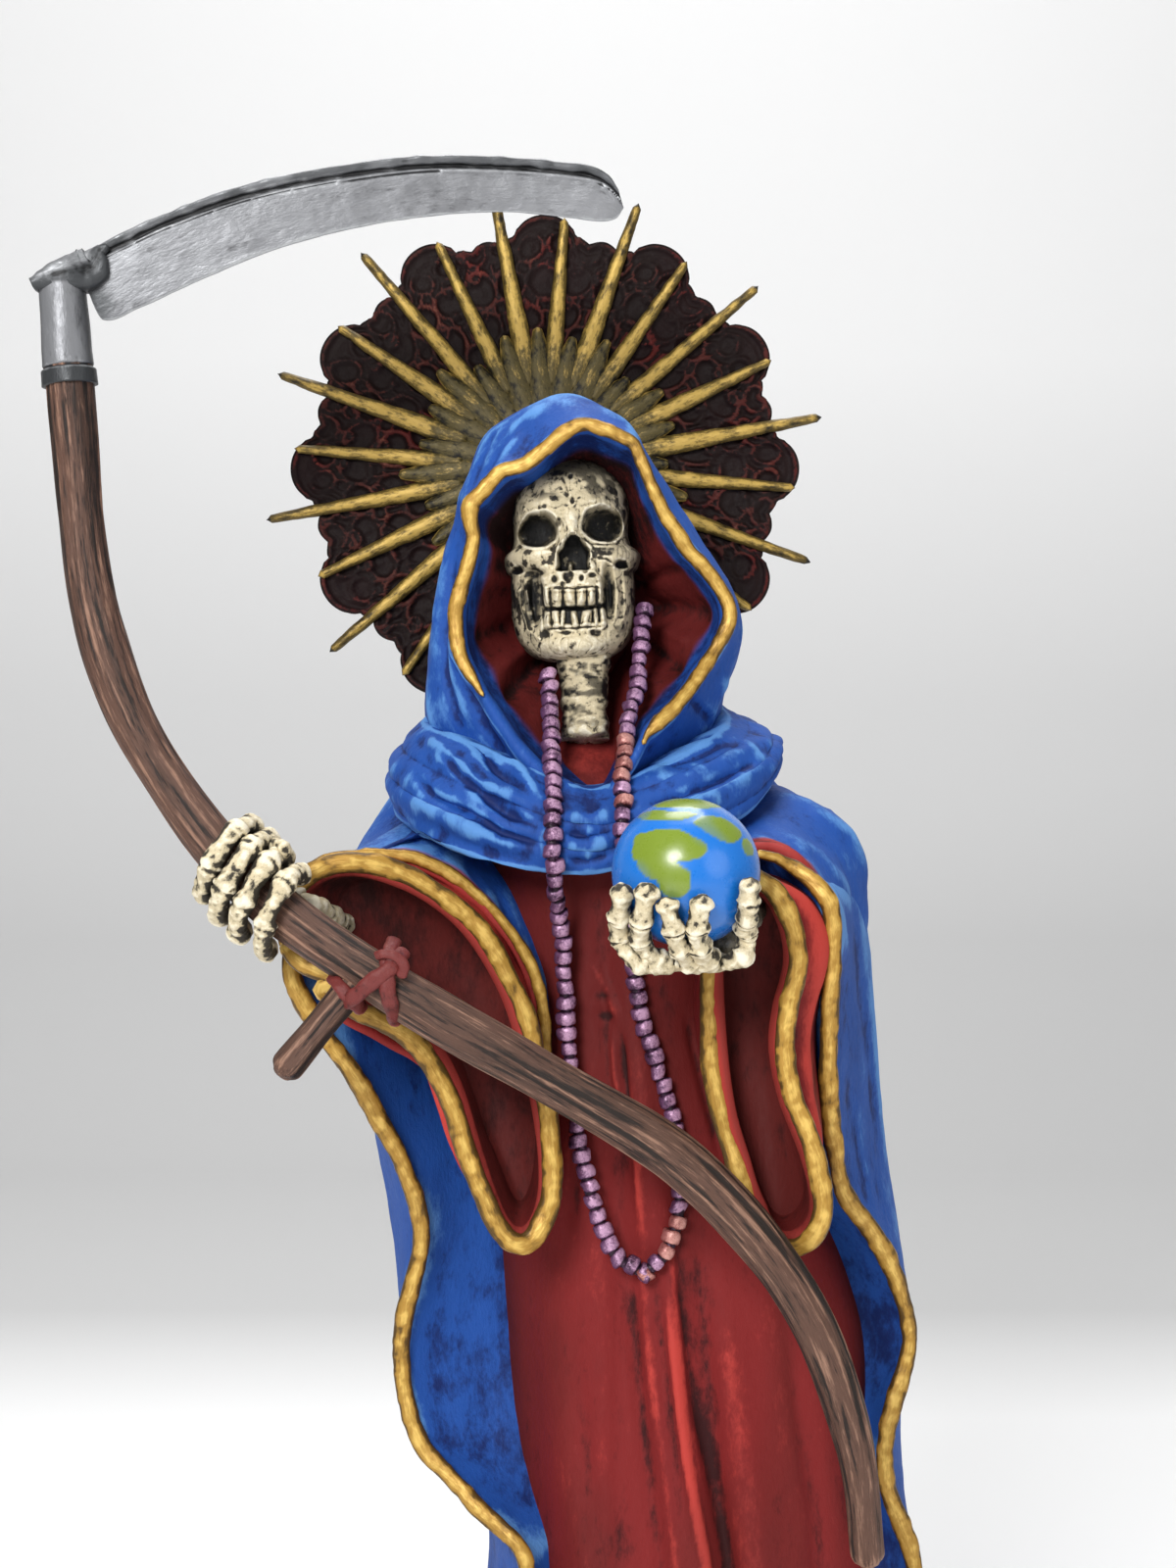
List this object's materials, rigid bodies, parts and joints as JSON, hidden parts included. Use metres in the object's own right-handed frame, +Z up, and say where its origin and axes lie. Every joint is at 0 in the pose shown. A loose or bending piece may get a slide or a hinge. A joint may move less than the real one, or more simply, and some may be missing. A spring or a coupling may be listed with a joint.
{
  "type": "robed skeleton saint statuette",
  "caption": "Painted resin statuette of a robed skeleton saint with a hooded cloak, rayed halo, scythe and globe, standing on a low base.",
  "frame": {"origin": "centre of the base's underside, on the surface it stands on", "axes": "+Z up, the figure faces -Y, its scythe hand is at -X"},
  "size_m": [0.186, 0.1319, 0.3669],
  "materials": {
    "cloak_blue": "satin blue paint with a dark wash in the folds",
    "robe_red": "satin red paint with a dark wash in the folds",
    "gold_trim": "brushed antique gold paint",
    "bone": "ivory paint with a black wash in the hollows",
    "beads_purple": "mauve paint over dark red",
    "wood_brown": "brown paint with a dark grain",
    "blade_grey": "silver-grey paint with a dark groove",
    "halo_lace": "dark brown openwork",
    "ray_gold": "antique gold paint with a dark wash",
    "globe_paint": "glossy blue seas and green land",
    "base_dark": "dark brown paint"
  },
  "bodies": {
    "root": {"figure": "cloak_blue", "scythe": "wood_brown", "halo": "halo_lace", "globe": "globe_paint", "base": "base_dark"}
  },
  "joints": []
}
